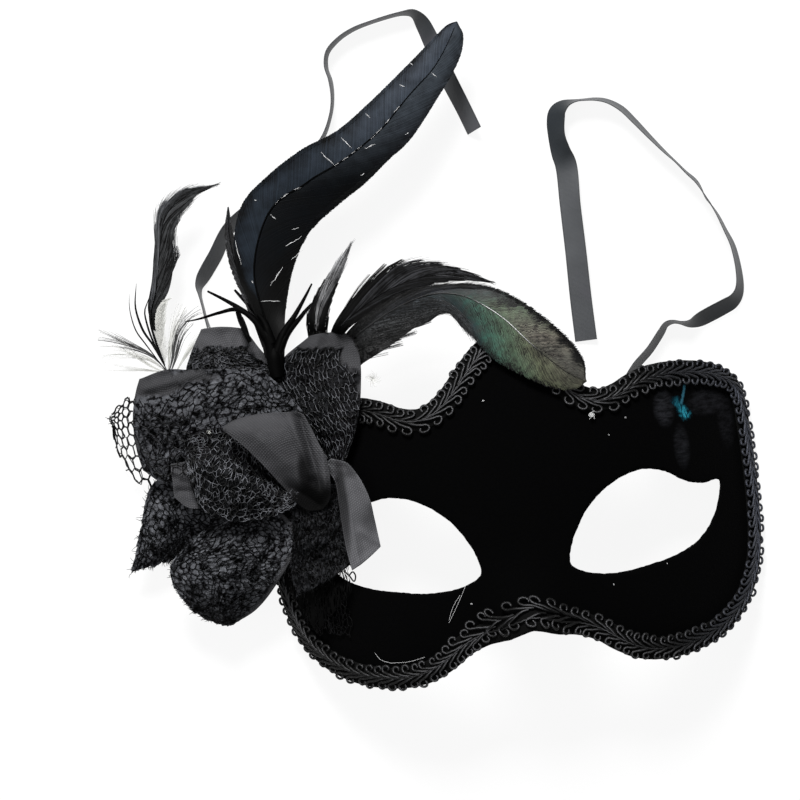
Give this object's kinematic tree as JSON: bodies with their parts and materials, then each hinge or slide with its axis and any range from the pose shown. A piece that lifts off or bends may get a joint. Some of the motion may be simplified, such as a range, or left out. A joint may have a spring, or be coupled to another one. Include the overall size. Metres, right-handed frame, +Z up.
{
  "type": "domino mask",
  "caption": "Black velvet half mask with a braided edge, a net-covered cloth flower and dark feathers at one temple, and ribbon ties, lying face up.",
  "frame": {"origin": "on the surface that the mask lies on, under the middle of the mask with its flower and feathers, the ribbons left out", "axes": "+X across the mask, away from the temple with the flower; +Y towards the forehead; +Z up, out of the front of the face"},
  "size_m": [0.2373, 0.2409, 0.0546],
  "materials": {
    "velvet": "deep black flocked velvet",
    "braid": "black scroll gimp cord",
    "organza": "stiff dark grey satin cloth",
    "net": "black net thread",
    "feather": "blue-black feather",
    "green_feather": "dark feather with a green sheen",
    "ribbon": "matt grey ribbon"
  },
  "bodies": {
    "root": {"mask_shell": "velvet", "braid_trim": "braid", "net_veil": "net", "petal_lower_left": "organza", "petal_top_left": "organza", "petal_top_right": "organza", "quill_bunch": "feather", "plume_sliver": "feather", "plume_large": "feather", "plume_upright": "feather", "plume_fan": "feather", "plume_green": "green_feather", "plume_hackle": "feather", "petal_bottom": "organza", "petal_lower_right": "organza", "petal_right": "organza", "petal_left": "organza", "petal_small": "organza", "petal_cup": "organza", "petal_middle": "organza", "ribbon_right": "ribbon", "ribbon_left": "ribbon"}
  },
  "joints": []
}
